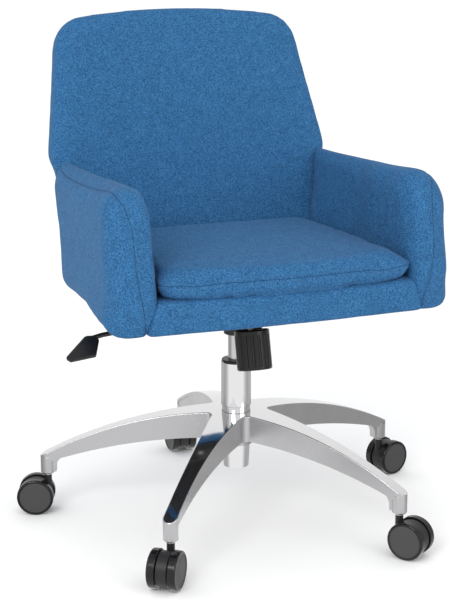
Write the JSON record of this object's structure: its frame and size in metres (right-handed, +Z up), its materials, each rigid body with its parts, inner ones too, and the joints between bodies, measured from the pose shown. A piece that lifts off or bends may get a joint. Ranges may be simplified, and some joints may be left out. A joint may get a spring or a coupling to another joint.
{
  "type": "swivel office chair",
  "caption": "Upholstered swivel chair with arms on a tilt mechanism, gas lift and polished star base with twin-wheel casters.",
  "frame": {"origin": "on the floor, on the axis of the swivel column", "axes": "+Z up along the column, the sitter faces -Y, +X to the sitter's left"},
  "size_m": [0.7227, 0.7017, 0.8355],
  "materials": {
    "base_metal": "cast legs, polished on top and satin on the sides",
    "tube_metal": "mirror polished",
    "cylinder_metal": "smooth black",
    "rod_metal": "ground and polished",
    "bearing_steel": "plain machined steel",
    "spring_steel": "dark oiled spring steel",
    "mechanism_paint": "black powder coat",
    "lever_steel": "bright plated",
    "black_plastic": "matte moulded",
    "knob_plastic": "semi-gloss moulded",
    "lever_plastic": "matte moulded",
    "caster_plastic": "matte moulded nylon",
    "wheel_plastic": "glossy rim and matte disc",
    "upholstery": "fine heathered weave",
    "under_cloth": "thin black lining",
    "frame_wood": "bare plywood"
  },
  "bodies": {
    "base": {"star_base": "base_metal", "caster_sockets": "black_plastic", "stand_tube": "tube_metal", "guide_sleeve": "black_plastic", "thrust_bearing": "bearing_steel", "retaining_clip": "bearing_steel", "caster_1_stem": "bearing_steel", "caster_2_stem": "bearing_steel", "caster_3_stem": "bearing_steel", "caster_4_stem": "bearing_steel", "caster_5_stem": "bearing_steel"},
    "piston": {"piston_rod": "rod_metal"},
    "column": {"gas_cylinder": "cylinder_metal", "tilt_housing": "mechanism_paint", "pivot_pin": "bearing_steel", "tension_spring": "spring_steel"},
    "seat": {"seat_plate": "mechanism_paint", "plate_bolts": "bearing_steel", "tee_nuts": "bearing_steel", "under_cover": "under_cloth", "seat_board": "frame_wood", "back_board": "frame_wood", "arm_board_left": "frame_wood", "arm_board_right": "frame_wood", "back_upholstery": "upholstery", "arm_left": "upholstery", "arm_right": "upholstery", "seat_rail": "upholstery", "seat_cushion": "upholstery"},
    "bolt": {"tension_bolt": "bearing_steel"},
    "knob": {"tension_knob": "knob_plastic"},
    "carrier": {"lever_carrier": "bearing_steel"},
    "lever": {"lever_rod": "lever_steel", "lever_paddle": "lever_plastic"},
    "valve": {"valve_pin": "bearing_steel"},
    "caster_1": {"caster_1_body": "caster_plastic", "caster_1_axle": "bearing_steel"},
    "caster_1_left": {"caster_1_wheel_left": "wheel_plastic"},
    "caster_1_right": {"caster_1_wheel_right": "wheel_plastic"},
    "caster_2": {"caster_2_body": "caster_plastic", "caster_2_axle": "bearing_steel"},
    "caster_2_left": {"caster_2_wheel_left": "wheel_plastic"},
    "caster_2_right": {"caster_2_wheel_right": "wheel_plastic"},
    "caster_3": {"caster_3_body": "caster_plastic", "caster_3_axle": "bearing_steel"},
    "caster_3_left": {"caster_3_wheel_left": "wheel_plastic"},
    "caster_3_right": {"caster_3_wheel_right": "wheel_plastic"},
    "caster_4": {"caster_4_body": "caster_plastic", "caster_4_axle": "bearing_steel"},
    "caster_4_left": {"caster_4_wheel_left": "wheel_plastic"},
    "caster_4_right": {"caster_4_wheel_right": "wheel_plastic"},
    "caster_5": {"caster_5_body": "caster_plastic", "caster_5_axle": "bearing_steel"},
    "caster_5_left": {"caster_5_wheel_left": "wheel_plastic"},
    "caster_5_right": {"caster_5_wheel_right": "wheel_plastic"}
  },
  "joints": [
    {"name": "seat_swivel", "type": "hinge", "parent": "base", "child": "piston", "pos_m": [0, 0, 0.1], "axis": [0, 0, 1], "continuous": true},
    {"name": "seat_lift", "type": "slide", "parent": "piston", "child": "column", "axis": [0, 0, 1], "range_m": [-0.035, 0.065]},
    {"name": "recline", "type": "hinge", "parent": "column", "child": "seat", "pos_m": [0, -0.034, 0.354], "axis": [-1, 0, 0], "range_deg": [0, 15], "stiffness_Nm_per_rad": 150, "springref_deg": -11.46},
    {"name": "tension_bolt_lift", "type": "slide", "parent": "column", "child": "bolt", "axis": [0, 0.2334, 0.9724], "range_m": [0, 0.0075], "deforming": ["tension_spring"]},
    {"name": "tension_knob_turn", "type": "hinge", "parent": "bolt", "child": "knob", "pos_m": [0, -0.0817, 0.2736], "axis": [0, 0.2334, 0.9724], "range_deg": [-1080, 1080]},
    {"name": "lever_pull", "type": "slide", "parent": "column", "child": "carrier", "axis": [-1, 0, 0], "range_m": [0, 0.012]},
    {"name": "lever_lift", "type": "hinge", "parent": "carrier", "child": "lever", "pos_m": [-0.026, 0, 0.3555], "axis": [0, 1, 0], "range_deg": [0, 6], "stiffness_Nm_per_rad": 2, "springref_deg": -20.05},
    {"name": "valve_press", "type": "slide", "parent": "column", "child": "valve", "axis": [0, 0, 1], "range_m": [-0.003, 0]},
    {"name": "caster_1_swivel", "type": "hinge", "parent": "base", "child": "caster_1", "pos_m": [0.31271, 0.07681, 0.06], "axis": [0, 0, 1], "continuous": true},
    {"name": "caster_1_left_roll", "type": "hinge", "parent": "caster_1", "child": "caster_1_left", "pos_m": [0.33281, 0.08288, 0.031], "axis": [-0.289, 0.9573, 0], "continuous": true},
    {"name": "caster_1_right_roll", "type": "hinge", "parent": "caster_1", "child": "caster_1_right", "pos_m": [0.33281, 0.08288, 0.031], "axis": [-0.289, 0.9573, 0], "continuous": true},
    {"name": "caster_2_swivel", "type": "hinge", "parent": "base", "child": "caster_2", "pos_m": [0.02358, 0.32114, 0.06], "axis": [0, 0, 1], "continuous": true},
    {"name": "caster_2_left_roll", "type": "hinge", "parent": "caster_2", "child": "caster_2_left", "pos_m": [0.02377, 0.34213, 0.031], "axis": [-1, 0.0087, 0], "continuous": true},
    {"name": "caster_2_right_roll", "type": "hinge", "parent": "caster_2", "child": "caster_2_right", "pos_m": [0.02377, 0.34213, 0.031], "axis": [-1, 0.0087, 0], "continuous": true},
    {"name": "caster_3_swivel", "type": "hinge", "parent": "base", "child": "caster_3", "pos_m": [-0.29813, 0.12166, 0.06], "axis": [0, 0, 1], "continuous": true},
    {"name": "caster_3_left_roll", "type": "hinge", "parent": "caster_3", "child": "caster_3_left", "pos_m": [-0.3177, 0.12929, 0.031], "axis": [-0.3633, -0.9317, 0], "continuous": true},
    {"name": "caster_3_right_roll", "type": "hinge", "parent": "caster_3", "child": "caster_3_right", "pos_m": [-0.3177, 0.12929, 0.031], "axis": [-0.3633, -0.9317, 0], "continuous": true},
    {"name": "caster_4_swivel", "type": "hinge", "parent": "base", "child": "caster_4", "pos_m": [-0.20784, -0.24594, 0.06], "axis": [0, 0, 1], "continuous": true},
    {"name": "caster_4_left_roll", "type": "hinge", "parent": "caster_4", "child": "caster_4_left", "pos_m": [-0.22111, -0.26222, 0.031], "axis": [0.7749, -0.632, 0], "continuous": true},
    {"name": "caster_4_right_roll", "type": "hinge", "parent": "caster_4", "child": "caster_4_right", "pos_m": [-0.22111, -0.26222, 0.031], "axis": [0.7749, -0.632, 0], "continuous": true},
    {"name": "caster_5_swivel", "type": "hinge", "parent": "base", "child": "caster_5", "pos_m": [0.16968, -0.27366, 0.06], "axis": [0, 0, 1], "continuous": true},
    {"name": "caster_5_left_roll", "type": "hinge", "parent": "caster_5", "child": "caster_5_left", "pos_m": [0.18193, -0.29072, 0.031], "axis": [0.8121, 0.5835, 0], "continuous": true},
    {"name": "caster_5_right_roll", "type": "hinge", "parent": "caster_5", "child": "caster_5_right", "pos_m": [0.18193, -0.29072, 0.031], "axis": [0.8121, 0.5835, 0], "continuous": true}
  ],
  "couplings": [
    {"joint": "tension_bolt_lift", "follows": "recline", "m_per_rad": 0.0276},
    {"joint": "valve_press", "follows": "lever_lift", "m_per_rad": -0.026}
  ]
}
